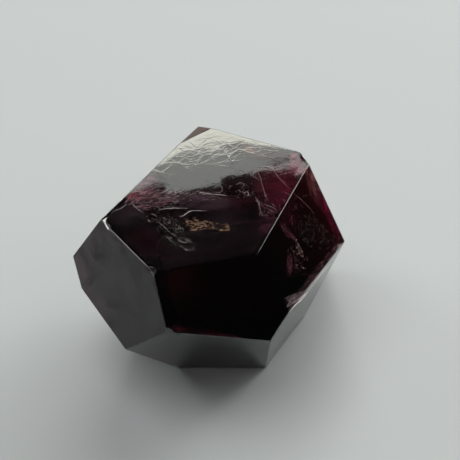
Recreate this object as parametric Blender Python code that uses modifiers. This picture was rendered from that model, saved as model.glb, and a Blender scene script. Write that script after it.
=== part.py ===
"""A hand-polished garnet crystal, made as one solid stone.

The stone is a garnet's twelve-sided crystal, worn and repolished, so its facets are flat
but uneven and a few small extra ones blunt its corners. It stands on its base facet.
Units are metres and degrees. +Z is up, +X is to the right of the dark front facet, and
the origin is under the middle of the stone, on the surface that it stands on.
"""

import math

import bmesh
import bpy
from mathutils import Matrix, Vector

MM = 0.001

# The rough block that the facets are cut from, well outside all of them.
BLOCK_WIDTH = 90.0 * MM

# Each facet is one flat cut, given by the way it faces (heading in degrees from +X
# towards +Y, and rise in degrees above level) and by its distance from the heart of the
# crystal in millimetres.
FACETS = {
    "crown": (-51.5, 80.5, 17.3),
    "front": (-71.0, 26.5, 23.5),
    "right": (-27.0, 33.5, 20.3),
    "left": (-136.5, 9.0, 24.8),
    "front_under": (-90.0, -28.5, 21.2),
    "right_under": (-31.2, -15.6, 20.45),
    "right_foot": (-15.0, -16.6, 23.0),
    "left_under": (-157.5, -37.5, 21.4),
    "left_sliver": (163.5, -19.5, 19.4),
    "back_left": (150.0, 32.5, 18.4),
    "back": (68.5, 39.5, 21.6),
    "back_right": (23.5, 17.0, 22.7),
    "back_under": (104.0, -27.0, 16.7),
    "crown_sliver": (132.0, 75.5, 21.2),
    "base": (0.0, -90.0, 20.0),
}

# Polishing has rounded every edge a little.
EDGE_ROUNDING = 0.16 * MM
EDGE_STEPS = 2
EDGE_LEAST_ANGLE = math.radians(8.0)

# Shell-shaped chips at the corners. Each is a shallow scoop out of the edge between the
# corners named "from" and "to", biting into the facets named "bites": how far along that
# edge it sits (0 to 1), and in millimetres the radius of the scoop and its depth.
CHIPS = {
    "chip_left_shoulder": {
        "from": ("crown", "left", "back_left"),
        "to": ("crown", "left", "front"),
        "bites": ("crown", "left"),
        "along": 0.14,
        "radius": 4.0,
        "depth": 0.4,
    },
    "chip_crown_corner": {
        "from": ("crown", "left", "front"),
        "to": ("crown", "left", "back_left"),
        "bites": ("crown", "left", "front"),
        "along": 0.07,
        "radius": 2.5,
        "depth": 0.4,
    },
    "chip_front_foot": {
        "from": ("front", "left", "front_under"),
        "to": ("front", "front_under", "right_under"),
        "bites": ("front", "left", "front_under"),
        "along": 0.02,
        "radius": 2.0,
        "depth": 0.5,
    },
    "chip_right_point": {
        "from": ("right", "back_right", "right_under"),
        "to": ("right", "front", "right_under"),
        "bites": ("right", "right_under"),
        "along": 0.1,
        "radius": 5.0,
        "depth": 0.3,
    },
}
CHIP_FINENESS = 4

GARNET_COLOUR = (0.035, 0.006, 0.010, 1.0)
GARNET_ROUGHNESS = 0.12


def facing(facet):
    """The unit direction that a facet faces."""
    heading, rise, _ = FACETS[facet]
    level = math.cos(math.radians(rise))
    return Vector(
        (
            level * math.cos(math.radians(heading)),
            level * math.sin(math.radians(heading)),
            math.sin(math.radians(rise)),
        )
    )


def distance(facet):
    """How far a facet lies from the heart of the crystal, in metres."""
    return FACETS[facet][2] * MM


def corner(facets):
    """The point where three facets meet, seen from the heart of the crystal."""
    rows = Matrix([facing(facet) for facet in facets])
    return rows.inverted() @ Vector([distance(facet) for facet in facets])


def clear_scene():
    """Remove everything that is in the scene."""
    for old in list(bpy.data.objects):
        bpy.data.objects.remove(old, do_unlink=True)


def new_collection(name):
    """A collection of its own in the scene."""
    collection = bpy.data.collections.new(name)
    bpy.context.scene.collection.children.link(collection)
    return collection


def garnet_material():
    """Very dark red polished garnet."""
    material = bpy.data.materials.new("garnet")
    material.use_nodes = True
    shader = material.node_tree.nodes["Principled BSDF"]
    shader.inputs["Base Color"].default_value = GARNET_COLOUR
    shader.inputs["Roughness"].default_value = GARNET_ROUGHNESS
    shader.inputs["Metallic"].default_value = 0.0
    return material


def cut_facets():
    """Cut a block along every facet and close each cut with one flat face."""
    stone = bmesh.new()
    bmesh.ops.create_cube(stone, size=BLOCK_WIDTH)
    for facet in FACETS:
        cut = bmesh.ops.bisect_plane(
            stone,
            geom=stone.verts[:] + stone.edges[:] + stone.faces[:],
            plane_co=facing(facet) * distance(facet),
            plane_no=facing(facet),
            clear_outer=True,
        )
        rim = [part for part in cut["geom_cut"] if isinstance(part, bmesh.types.BMEdge)]
        bmesh.ops.edgeloop_fill(stone, edges=rim)
    bmesh.ops.recalc_face_normals(stone, faces=stone.faces[:])
    return stone


def heart_of(stone):
    """Where the heart goes, so the origin is under the middle of the stone's box."""
    low = [min(point.co[axis] for point in stone.verts) for axis in range(3)]
    high = [max(point.co[axis] for point in stone.verts) for axis in range(3)]
    return Vector((-(low[0] + high[0]) / 2, -(low[1] + high[1]) / 2, -low[2]))


def add_stone(collection):
    """The faceted stone with its rounded edges. Returns it and the place of its heart."""
    stone = cut_facets()
    heart = heart_of(stone)
    bmesh.ops.translate(stone, verts=stone.verts[:], vec=heart)
    mesh = bpy.data.meshes.new("garnet_crystal")
    stone.to_mesh(mesh)
    stone.free()
    mesh.materials.append(garnet_material())
    crystal = bpy.data.objects.new("garnet_crystal", mesh)
    collection.objects.link(crystal)
    rounding = crystal.modifiers.new("edge_rounding", "BEVEL")
    rounding.width = EDGE_ROUNDING
    rounding.segments = EDGE_STEPS
    rounding.limit_method = "ANGLE"
    rounding.angle_limit = EDGE_LEAST_ANGLE
    return crystal, heart


def add_scoop(name, chip, heart, collection):
    """The ball that scoops one chip out of an edge."""
    start = corner(chip["from"])
    end = corner(chip["to"])
    place = start.lerp(end, chip["along"])
    outward = sum((facing(facet) for facet in chip["bites"]), Vector()).normalized()
    radius = chip["radius"] * MM
    reach = radius - chip["depth"] * MM
    ball = bmesh.new()
    bmesh.ops.create_icosphere(ball, subdivisions=CHIP_FINENESS, radius=radius)
    bmesh.ops.translate(ball, verts=ball.verts[:], vec=heart + place + outward * reach)
    mesh = bpy.data.meshes.new(name)
    ball.to_mesh(mesh)
    ball.free()
    scoop = bpy.data.objects.new(name, mesh)
    scoop.hide_render = True
    scoop.display_type = "WIRE"
    collection.objects.link(scoop)
    return scoop


def chip_corners(crystal, heart):
    """Scoop every chip out of the stone."""
    cutters = new_collection("chip_cutters")
    for name, chip in CHIPS.items():
        cut = crystal.modifiers.new(name, "BOOLEAN")
        cut.operation = "DIFFERENCE"
        cut.solver = "EXACT"
        cut.object = add_scoop(name, chip, heart, cutters)


def main():
    """Build the garnet crystal."""
    clear_scene()
    crystal, heart = add_stone(new_collection("garnet_crystal"))
    chip_corners(crystal, heart)


main()
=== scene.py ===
"""Looks for a hand-polished garnet crystal: clear dark red stone with inclusions inside it."""

import math

import bmesh
import bpy
from mathutils import Matrix, Vector, noise


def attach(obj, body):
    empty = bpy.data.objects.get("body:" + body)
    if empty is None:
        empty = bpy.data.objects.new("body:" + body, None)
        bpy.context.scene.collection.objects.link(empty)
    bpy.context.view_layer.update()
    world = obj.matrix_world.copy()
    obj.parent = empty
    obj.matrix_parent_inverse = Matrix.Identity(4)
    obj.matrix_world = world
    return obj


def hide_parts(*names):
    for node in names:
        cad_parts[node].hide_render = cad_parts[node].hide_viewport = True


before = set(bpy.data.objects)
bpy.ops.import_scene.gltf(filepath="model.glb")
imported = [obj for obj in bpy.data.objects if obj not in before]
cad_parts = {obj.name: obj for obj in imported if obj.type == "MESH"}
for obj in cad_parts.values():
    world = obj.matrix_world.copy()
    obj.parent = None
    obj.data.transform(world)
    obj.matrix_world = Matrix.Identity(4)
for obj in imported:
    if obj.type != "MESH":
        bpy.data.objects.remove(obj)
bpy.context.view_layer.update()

MM = 0.001
BODY = "root"
NODE = "garnet_crystal"

# ---------------------------------------------------------------------------
# The stone. Headings and rises are in degrees, lengths in metres.
# ---------------------------------------------------------------------------

# The way each facet that carries detail faces: heading from +X towards +Y, and rise.
FACET_FACINGS = {
    "crown": (-51.5, 80.5),
    "crown_sliver": (132.0, 75.5),
    "front": (-71.0, 26.5),
    "right": (-27.0, 33.5),
    "left": (-136.5, 9.0),
    "front_under": (-90.0, -28.5),
    "right_under": (-31.2, -15.6),
    "right_foot": (-15.0, -16.6),
    "left_under": (-157.5, -37.5),
    "left_sliver": (163.5, -19.5),
    "back_left": (150.0, 32.5),
    "back": (68.5, 39.5),
    "back_right": (23.5, 17.0),
    "back_under": (104.0, -27.0),
    "base": (0.0, -90.0),
}
# How closely a face keeps to its facet's way, and how small it can be.
FACET_MATCH = 0.9999
FACET_LEAST_AREA = 2.0 * MM * MM
# A facet whose normal points this nearly straight up or down takes +X as its way across.
NEARLY_UPRIGHT = 0.9
MERGE = 0.001 * MM
CUT_MERGE = MERGE / 10
FLAT_ANGLE = math.radians(0.3)
# How far from its facet's plane a point can lie, before and after the facets are waved.
ON_FACET = 0.002 * MM
NEAR_FACET = 0.06 * MM
# Faces that lie this close to a facet's own way outweigh those of the worn edges.
FACET_LIKENESS = math.cos(math.radians(2.5))
FACET_WEIGHT = 1000.0

# Hand polishing leaves each facet very slightly wavy. The waves die out at the edges.
SLICE = 0.8 * MM
WAVE_BROAD = 11.0 * MM
WAVE_BROAD_DEPTH = 0.024 * MM
WAVE_SMALL = 3.2 * MM
WAVE_SMALL_DEPTH = 0.006 * MM
WAVE_RIM = 0.5 * MM
WAVE_FADE = 6.0 * MM
WAVE_SEED = 10.0

# Garnet bends light strongly and drinks green first, then blue, then red.
GARNET_IOR = 1.79
GARNET_SHINE = 0.31
GARNET_TINT = (1.0, 0.96, 0.965)
ABSORPTION_COLOUR = (0.75, 0.0, 0.42)
ABSORPTION_DENSITY = 620.0

# Polishing scratches make the roughness uneven. Each pair is how much of it comes from the
# scratches and how much is there everywhere.
SCRATCHES = {"turn": 0.4, "stretch": 3.0, "size": 2.5, "low": 0.4, "high": 0.8}
FINE_POLISH = (0.02, 0.02)
RUBBED_POLISH = (0.5, 0.7)
# Facets that are less well polished than the rest, and how rough they are.
RUBBED_FACETS = {"left": 0.8, "left_under": 0.25, "front_under": 0.14}

# The crinkle of the polish: fine ridges and coarse ones, turns in radians, sizes in millimetres.
FINE_CRINKLE = {"size": 1.3, "turn": 0.6, "stretch": 2.6, "ridge_width": 0.1, "ridge_height": 0.75}
COARSE_CRINKLE = {"size": 3.2, "turn": -0.5, "stretch": 1.8, "ridge_width": 0.04, "ridge_height": 0.85}
COARSE_SHARE = 1.6
# How the ridges bend, in their own size, and how high the soft dips between them are.
CRINKLE_BEND = 1.5
CRINKLE_SWAY = 1.4
CRINKLE_DIPS = 1.2
CRINKLE_DEPTH = 0.0009 * MM
CRINKLE_ELSEWHERE = 0.05
# How strong the crinkle is low and high on the crown, and where it grows along its slope,
# which leans to the left of straight up the crown. It fades at the crown's rim.
CRINKLE_LEAST = 0.4
CRINKLE_MOST = 3.2
CRINKLE_LEAN = math.radians(20.0)
CRINKLE_START = 4.5 * MM
CRINKLE_BAND = 8.0 * MM
CRINKLE_RIM = 0.9 * MM

# ---------------------------------------------------------------------------
# What is inside the stone, and a painted glow where light shines through its thin right rim. Places are in
# millimetres across and up a facet from its centre, depths in millimetres below it.
# ---------------------------------------------------------------------------

# Each thread is (half thickness, depth, its points).
PALE_THREADS = (
    (0.08, 0.03, ((-8.9, -3.6), (-8.2, -3.8), (-7.3, -3.4), (-6.0, -3.2), (-3.8, -3.1))),
    (0.11, 0.03, ((-5.2, -5.1), (-4.6, -5.0), (-4.0, -4.4), (-3.4, -3.7), (-2.7, -3.5))),
    (0.06, 0.03, ((-3.1, -3.6), (-2.7, -3.5), (-0.4, -3.3))),
    (0.09, 0.04, ((-10.0, -4.9), (-9.5, -5.2), (-9.0, -5.3))),
    (
        0.05,
        0.03,
        ((-5.2, -10.4), (-4.6, -10.9), (-3.9, -11.0), (-3.4, -10.6), (-3.6, -10.2), (-4.2, -10.1)),
    ),
    (0.06, 0.03, ((-4.9, -11.6), (-4.3, -12.1), (-3.6, -12.7), (-2.8, -12.6))),
    (0.06, 0.04, ((-7.2, -6.7), (-6.7, -6.8))),
    (0.07, 0.03, ((-2.4, 1.3), (-1.4, 1.0), (-0.1, 0.8), (1.1, 0.8), (3.5, 0.7))),
    (0.035, 0.04, ((0.6, 2.1), (1.1, 2.8), (1.8, 3.2), (2.3, 2.8), (2.3, 1.8), (1.8, 1.2), (0.7, 1.4))),
    (0.04, 0.03, ((4.8, 3.6), (5.5, 4.2), (6.4, 4.0), (5.8, 2.7))),
    (0.04, 0.03, ((5.2, 2.4), (5.8, 1.9), (6.3, 1.7), (6.9, 2.3), (7.1, 1.1), (6.2, 1.2))),
    (0.04, 0.05, ((8.9, 7.4), (9.4, 5.6), (9.7, 3.5), (10.1, 1.7), (10.6, 0.1))),
    (0.05, 0.04, ((8.3, 0.9), (8.9, -0.4), (9.1, -1.7), (9.2, -2.8), (9.7, -3.5), (10.0, -3.4))),
    (0.045, 0.04, ((9.7, -0.8), (10.7, -1.1), (11.7, -1.6))),
    (0.045, 0.04, ((10.3, -1.6), (11.0, -2.2), (11.6, -2.9))),
    (0.04, 0.05, ((9.2, 8.0), (10.4, 9.1), (11.6, 8.7), (12.5, 6.7), (13.5, 5.1), (14.6, 3.6))),
    (0.055, 0.04, ((-17.0, -5.4), (-16.3, -4.7), (-15.5, -4.3), (-14.7, -3.5), (-14.2, -3.0))),
    (0.05, 0.04, ((-14.2, -3.0), (-13.4, -3.0), (-12.9, -3.6), (-12.1, -4.4), (-11.4, -4.7))),
)
ROSY_THREADS = (
    (0.10, 0.10, ((-14.7, -2.8), (-14.3, -1.8), (-13.8, -1.0), (-13.3, -0.7))),
    (0.08, 0.10, ((-13.3, -0.7), (-13.6, -1.9), (-14.2, -2.5))),
    (0.09, 0.08, ((-11.0, -1.9), (-10.2, -1.1), (-9.4, -0.4), (-8.6, 0.2))),
    (0.07, 0.08, ((-9.6, -2.6), (-8.4, -2.0), (-7.0, -1.6), (-5.4, -1.7))),
    (0.09, 0.15, ((-13.4, -3.4), (-12.2, -3.2), (-11.2, -3.6), (-10.2, -3.5))),
)
OLIVE_THREADS = (
    (0.05, 0.05, ((-9.1, -6.6), (-8.0, -7.4), (-6.9, -8.7), (-5.7, -9.6), (-4.6, -10.4))),
    (0.04, 0.05, ((-6.4, -8.1), (-5.4, -8.9), (-4.4, -9.2), (-3.4, -9.9))),
)
RIGHT_THREADS = (
    (0.07, 0.06, ((4.3, 7.1), (4.5, 6.6), (5.6, 4.1), (6.3, 1.5))),
    (0.06, 0.30, ((-3.1, 5.5), (-3.5, 4.3), (-3.3, 3.0), (-2.0, 1.4))),
    (0.06, 0.30, ((-6.8, -0.9), (-5.7, -2.2), (-4.9, -3.8))),
)
# Pale streaks that fan out along the foot of the right facet.
FAN_THREADS = (
    (0.08, 0.05, ((-13.2, -6.0), (-11.4, -5.8), (-9.5, -6.7), (-6.8, -7.3))),
    (0.10, 0.05, ((-13.3, -6.3), (-11.2, -6.6), (-8.8, -7.2), (-6.2, -7.5))),
    (0.07, 0.05, ((-12.8, -5.4), (-11.8, -5.0), (-10.9, -5.3))),
    (0.05, 0.06, ((-6.8, -7.4), (-4.2, -7.6), (-1.6, -7.8), (0.8, -8.1), (3.4, -8.4))),
    (0.05, 0.08, ((-9.4, -6.0), (-7.8, -6.6), (-5.6, -7.1), (-3.4, -7.2))),
    (0.06, 0.08, ((-11.0, -5.4), (-10.2, -5.8), (-9.2, -5.9))),
)

# Each bunch of threads: its facet and lines, how far it wanders, its seed and its look.
THREADS = {
    "pale_threads": ("crown", PALE_THREADS, 0.35, 3, "pale"),
    "rosy_threads": ("crown", ROSY_THREADS, 0.45, 5, "rosy"),
    "olive_threads": ("crown", OLIVE_THREADS, 0.5, 8, "olive"),
    "right_threads": ("right", RIGHT_THREADS, 0.4, 11, "rosy"),
    "fan_threads": ("right", FAN_THREADS, 0.3, 13, "pale"),
}
# Threads are jointed at even steps, and six-sided.
THREAD_STEP = 0.18 * MM
THREAD_SIDES = 6
# How thick a thread is: so much more in the middle, over so much at its ends.
THREAD_TAPER = (0.8, 0.2)
# How thick a thread is drawn, as a share of the half thickness in its table.
GIRTH_SCALE = 0.65

# Fields of flat flakes and grains: the facet and depth they lie at, their outlines, the slant
# they lie along and how far they tip from it in degrees, flakes in a square millimetre, how
# unevenly they crowd together, and the half length and half width of the largest.
FLAKE_FIELDS = {
    "gold_flakes": {
        "at": ("crown", 0.03),
        "outlines": (
            ((-4.3, -6.2), (-2.3, -5.5), (-0.4, -6.4), (-0.7, -8.0), (-3.0, -8.2)),
            ((-1.0, -5.5), (1.0, -6.2), (1.0, -7.6), (-0.6, -7.3)),
            ((1.6, -7.6), (3.1, -6.3), (3.9, -6.8), (3.4, -7.9)),
        ),
        "slant": (8.0, 25.0),
        "crowd": (14.0, 0.42),
        "largest": (0.42, 0.06),
        "look": "gold",
    },
    "crest_flakes": {
        "at": ("crown", 0.04),
        "outlines": (
            ((-14.6, -2.6), (-13.6, -1.2), (-8.0, 0.4), (-5.2, -0.2), (-7.0, -2.3), (-10.6, -4.2)),
        ),
        "slant": (26.0, 22.0),
        "crowd": (4.5, 0.46),
        "largest": (0.9, 0.04),
        "look": "beige",
    },
    "spine_flakes": {
        "at": ("crown", 0.06),
        "outlines": (
            ((-10.5, -4.6), (-7.6, -4.2), (-3.4, -8.6), (-2.6, -12.8), (-5.8, -12.0), (-8.8, -8.0)),
        ),
        "slant": (-38.0, 40.0),
        "crowd": (9.0, 0.47),
        "largest": (0.3, 0.05),
        "look": "olive",
    },
    "leafy_grains": {
        "at": ("right", 0.1),
        "outlines": (((2.2, 4.0), (6.9, -0.4), (8.6, -6.6), (3.6, -6.4), (0.4, -5.0), (-0.8, 0.4)),),
        "slant": (60.0, 90.0),
        "crowd": (3.0, 0.5),
        "largest": (0.3, 0.06),
        "look": "olive",
    },
    "pink_grains": {
        "at": ("right", 0.1),
        "outlines": (
            ((-5.4, 2.8), (-1.8, 3.0), (-0.6, -0.6), (-3.6, -3.6), (-6.0, -2.6), (-6.4, -0.2)),
            ((-6.0, -2.6), (-7.9, -1.4), (-6.4, -0.2)),
        ),
        "slant": (50.0, 90.0),
        "crowd": (2.2, 0.5),
        "largest": (0.35, 0.13),
        "look": "rosy",
    },
    "beige_grains": {
        "at": ("right", 0.05),
        "outlines": (((-2.9, 0.1), (-1.9, 0.3), (-1.5, -1.0), (-2.4, -2.5), (-3.1, -1.6)),),
        "slant": (80.0, 60.0),
        "crowd": (14.0, 0.3),
        "largest": (0.3, 0.15),
        "look": "beige",
    },
    "foot_streaks": {
        "at": ("right", 0.08),
        "outlines": (
            ((-11.9, -5.9), (-6.6, -5.8), (2.0, -6.5), (9.6, -7.4), (9.9, -8.2), (0.4, -7.6), (-8.0, -7.0)),
        ),
        "slant": (-7.0, 14.0),
        "crowd": (3.5, 0.44),
        "largest": (1.0, 0.06),
        "look": "rosy",
    },
    "fan_streaks": {
        "at": ("right", 0.05),
        "outlines": (((-12.8, -5.6), (-11.9, -3.9), (-9.6, -5.3), (-7.2, -6.5), (-9.4, -6.9)),),
        "slant": (-14.0, 30.0),
        "crowd": (9.0, 0.42),
        "largest": (0.9, 0.05),
        "look": "pale",
    },
}

# How gently clumps of flakes or hairs thin out, in a noise texture's values.
CLUMP_FADE = 0.12
# Dents in a flake, as shares of its half size.
DENT_SIZE = 1.1
DENT_DEPTH = 0.9

# The seed of the first field, the size of the clumps, how much deeper than its outline a
# flake can lie, and how far it can roll, in degrees.
FLAKE_SEED = 61
FLAKE_CLUMP = 1.3 * MM
FLAKE_SCATTER = 0.08 * MM
FLAKE_ROLL = 10.0
# The smallest flake's length and width, as shares of the largest's.
FLAKE_LEAST = (0.2, 0.35)
# Half the thickness of the smallest and the largest flake.
FLAKE_THIN = 0.02 * MM
FLAKE_THICK = 0.04 * MM

# Fields of fine hairs: the facet and depth they lie at, their outline, their slant and how
# far they fan from it in degrees, hairs in a square millimetre, and the longest and thickest.
HAIR_FIELDS = {
    "crest_hairs": {
        "at": ("crown", 0.045),
        "outline": ((-14.8, -3.2), (-13.4, 0.6), (-8.5, 1.4), (-4.0, -1.2), (-6.0, -3.6), (-11.0, -4.3)),
        "slant": (28.0, 35.0),
        "crowd": 8.0,
        "longest": (1.2, 0.04),
        "look": "pale",
    },
    "rim_hairs": {
        "at": ("crown", 0.04),
        "outline": ((-13.0, -1.6), (-10.0, 1.2), (-4.0, 1.0), (3.5, 1.6), (2.0, -0.6), (-6.0, -1.8)),
        "slant": (8.0, 40.0),
        "crowd": 2.6,
        "longest": (1.3, 0.035),
        "look": "pale",
    },
    "olive_hairs": {
        "at": ("crown", 0.05),
        "outline": ((-11.0, -5.2), (-6.0, -5.6), (-3.0, -9.2), (-2.0, -12.6), (-6.0, -12.2), (-9.5, -9.0)),
        "slant": (-42.0, 35.0),
        "crowd": 6.0,
        "longest": (0.8, 0.05),
        "look": "olive",
    },
    "cluster_hairs": {
        "at": ("crown", 0.04),
        "outline": ((3.4, 3.6), (8.0, 4.6), (8.2, 0.8), (4.0, 0.2)),
        "slant": (20.0, 180.0),
        "crowd": 3.4,
        "longest": (0.8, 0.024),
        "look": "pale",
    },
    "tangle_hairs": {
        "at": ("crown", 0.04),
        "outline": ((8.2, 1.5), (10.4, 1.6), (12.4, -1.2), (11.2, -3.4), (8.6, -3.6)),
        "slant": (-60.0, 60.0),
        "crowd": 2.4,
        "longest": (1.0, 0.028),
        "look": "pale",
    },
    "plum_hairs": {
        "at": ("crown", 0.06),
        "outline": ((8.0, 8.2), (13.0, 9.2), (15.5, 4.5), (12.5, -4.0), (8.5, -4.0)),
        "slant": (-65.0, 45.0),
        "crowd": 0.7,
        "longest": (1.8, 0.022),
        "look": "rosy",
    },
    "gold_hairs": {
        "at": ("crown", 0.05),
        "outline": ((-5.0, -5.2), (3.8, -5.4), (5.0, -8.0), (-4.0, -8.8)),
        "slant": (-6.0, 35.0),
        "crowd": 2.0,
        "longest": (0.9, 0.045),
        "look": "gold",
    },
    "leafy_hairs": {
        "at": ("right", 0.06),
        "outline": ((0.6, 3.4), (6.2, 1.8), (8.6, -6.2), (3.6, -5.2), (-0.4, -1.4)),
        "slant": (70.0, 180.0),
        "crowd": 2.6,
        "longest": (1.2, 0.035),
        "look": "olive",
    },
    "curl_hairs": {
        "at": ("right", 0.06),
        "outline": ((-5.2, 1.2), (-1.4, 0.8), (-1.2, -3.2), (-4.6, -5.4), (-5.6, -3.4), (-7.8, -2.6)),
        "slant": (50.0, 180.0),
        "crowd": 3.2,
        "longest": (0.8, 0.055),
        "look": "rosy",
    },
    "plum_curl_hairs": {
        "at": ("right", 0.08),
        "outline": ((-5.6, 5.6), (3.4, 7.2), (8.0, 5.0), (2.4, 2.0), (-4.2, 2.2)),
        "slant": (60.0, 90.0),
        "crowd": 1.6,
        "longest": (1.0, 0.045),
        "look": "rosy",
    },
    "foot_hairs": {
        "at": ("right", 0.04),
        "outline": ((-13.6, -6.2), (-12.2, -4.4), (-7.2, -6.2), (7.6, -7.4), (8.0, -8.8), (-6.6, -7.6)),
        "slant": (-8.0, 22.0),
        "crowd": 2.2,
        "longest": (1.4, 0.045),
        "look": "rosy",
    },
}

# The same for hairs, with where their clumps end in a noise texture's values, the shortest
# hair, the thinnest as a share of the thickest, and how they wander.
HAIR_SEED = 31
HAIR_CLUMP = 2.2 * MM
HAIR_CLUMP_EDGE = 0.42
HAIR_SCATTER = 0.1 * MM
HAIR_SHORTEST = 0.3 * MM
HAIR_THINNEST = 0.35
HAIR_WOBBLE = 0.45 * MM
HAIR_WOBBLE_SIZE = 0.4 * MM
HAIR_JOINTS = 9
HAIR_SIDES = 4

# Each look of an inclusion: its material, two colours, the size of their blotches, and how
# much of a mirror it is.
LOOKS = {
    "pale": ("crack_pale", (0.95, 0.91, 0.88), (0.6, 0.5, 0.49), 0.5, 0.25),
    "beige": ("flake_beige", (0.92, 0.74, 0.62), (0.42, 0.26, 0.22), 0.4, 0.35),
    "rosy": ("crack_rosy", (0.8, 0.5, 0.5), (0.35, 0.14, 0.18), 0.5, 0.35),
    "olive": ("crack_olive", (0.62, 0.66, 0.56), (0.16, 0.15, 0.13), 0.4, 0.35),
    "gold": ("flake_gold", (1.0, 0.78, 0.52), (0.5, 0.26, 0.14), 0.35, 0.3),
    # This look is the frosting of knocked edges and corners, and partly a painted highlight.
    "bruise_and_highlight": ("frost_white", (0.85, 0.84, 0.81), (0.5, 0.46, 0.45), 0.35, 0.0),
}

FLAKE_ROUGHNESS = 0.4
# Where the first colour of a look gives way to the second, in a noise texture's values.
BLOTCH_FADE = (0.35, 0.65)

# A knocked corner is a frosted skin, which stands a hair proud of its facet. It is partly a painted
# highlight: the white patch where the corner catches the window.
SHOULDER_BRUISE_HIGHLIGHTS = (
    ((-18.2, -7.2), (-17.5, -6.4), (-17.7, -7.0), (-17.7, -7.8), (-17.0, -9.1), (-17.2, -9.3)),
)

BRUISE_HIGHLIGHT_PROUD = 0.012
BRUISE_HIGHLIGHT_DEPTH = 0.06
# A knocked edge is a frosted thread, and partly a painted highlight where the worn edge catches the window:
# the two facets it runs between, the two it starts and ends at, how deep it is sunk, its half thickness,
# how far it wanders and its seed.
EDGE_BRUISE_HIGHLIGHTS = {
    "right_edge_bruise": ("crown", "right", "back_right", "front", 0.052, 0.05, 0.05, 17),
    "left_edge_bruise": ("crown", "left", "back_left", "front", 0.05, 0.04, 0.08, 19),
}
EDGE_STEPS = 12

# Soft patches of colour in a veil: (middle, half size, turn, fade, ragged, share, tone).
# A cover ends in how solid the veil is there, and not in a tone.
CROWN_BASE_TONE = (0.24, 0.18, 0.2)
CROWN_TONES = (
    ((13.0, 4.0), (4.6, 6.5), 20.0, 0.35, 1.5, 0.9, (0.36, 0.04, 0.09)),
    ((6.5, 0.5), (3.5, 3.0), 0.0, 0.4, 1.2, 0.8, (0.3, 0.06, 0.1)),
    ((11.0, -5.0), (3.0, 4.0), 10.0, 0.5, 1.2, 0.7, (0.3, 0.08, 0.15)),
    ((-12.6, -0.6), (2.1, 1.3), 20.0, 0.35, 0.9, 0.9, (0.85, 0.26, 0.27)),
    ((-11.6, 2.3), (3.0, 2.2), 40.0, 0.5, 1.0, 0.9, (0.62, 0.38, 0.43)),
    ((-2.0, -0.8), (5.5, 2.0), 5.0, 0.6, 1.2, 1.0, (0.45, 0.36, 0.38)),
    ((-9.5, -1.0), (4.4, 1.8), 25.0, 0.5, 1.0, 0.8, (0.72, 0.55, 0.53)),
    # Painted glow: pink light shining through the thin corner where the crown meets the right facet.
    ((17.0, 10.4), (2.4, 3.4), 0.0, 0.4, 0.6, 0.9, (0.8, 0.34, 0.42)),
    ((7.4, 13.2), (1.7, 0.9), -30.0, 0.5, 0.8, 1.0, (0.95, 0.48, 0.34)),
    ((9.0, 13.6), (4.5, 2.0), -20.0, 0.5, 1.0, 0.8, (0.6, 0.5, 0.42)),
    ((-3.0, -8.0), (5.0, 1.6), -15.0, 0.5, 1.2, 0.5, (0.36, 0.32, 0.28)),
    ((-13.9, -6.3), (3.1, 2.1), -10.0, 0.3, 0.8, 1.0, (0.22, 0.22, 0.22)),
    ((-11.0, -10.5), (3.0, 2.0), -40.0, 0.5, 0.8, 0.8, (0.3, 0.08, 0.11)),
)
CROWN_COVER = (
    ((-7.0, -7.5), (5.0, 2.6), -30.0, 0.5, 1.5, 0.8, 0.16),
    ((13.0, 4.0), (4.6, 6.5), 20.0, 0.35, 1.5, 1.0, 0.52),
    ((-2.0, -0.8), (5.5, 2.0), 5.0, 0.6, 1.2, 1.0, 0.36),
    ((-9.5, -1.4), (4.2, 1.6), 25.0, 0.5, 1.0, 0.8, 0.72),
    ((-12.6, -0.6), (2.2, 1.5), 20.0, 0.35, 0.9, 1.0, 0.95),
    ((-11.6, 2.3), (3.0, 2.2), 40.0, 0.5, 1.0, 1.0, 0.75),
    ((-13.9, -6.3), (3.1, 2.1), -10.0, 0.3, 0.8, 1.0, 0.3),
    # Painted glow: the veil is made solid at that corner to carry it.
    ((17.0, 10.4), (2.4, 3.4), 0.0, 0.4, 0.6, 1.0, 0.9),
    ((9.0, 13.6), (4.5, 2.0), -20.0, 0.5, 1.0, 0.8, 0.4),
    ((7.4, 13.2), (1.7, 0.9), -30.0, 0.5, 0.8, 1.0, 0.8),
    ((11.4, -5.0), (2.4, 3.6), 10.0, 0.4, 1.0, 1.0, 0.4),
)
RIGHT_BASE_TONE = (0.2, 0.05, 0.08)
RIGHT_TONES = (
    # The next two tones are a painted glow of light shining through the thin right rim: salmon at the top,
    # raspberry lower down.
    ((10.6, 6.0), (2.2, 4.4), -12.0, 0.6, 0.8, 1.0, (0.8, 0.42, 0.36)),
    ((10.2, -2.6), (1.6, 5.0), -6.0, 0.5, 0.8, 1.0, (0.5, 0.05, 0.15)),
    ((-2.5, 3.4), (0.7, 2.4), 18.0, 0.4, 0.6, 1.0, (0.7, 0.3, 0.36)),
    ((-6.9, -0.9), (1.8, 0.9), 40.0, 0.4, 0.6, 1.0, (0.6, 0.28, 0.32)),
    ((-1.0, -6.7), (11.5, 0.9), -5.0, 0.5, 0.6, 1.0, (0.5, 0.36, 0.38)),
    ((1.0, 6.0), (3.0, 2.6), 20.0, 0.5, 1.0, 1.0, (0.3, 0.05, 0.11)),
)
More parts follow.
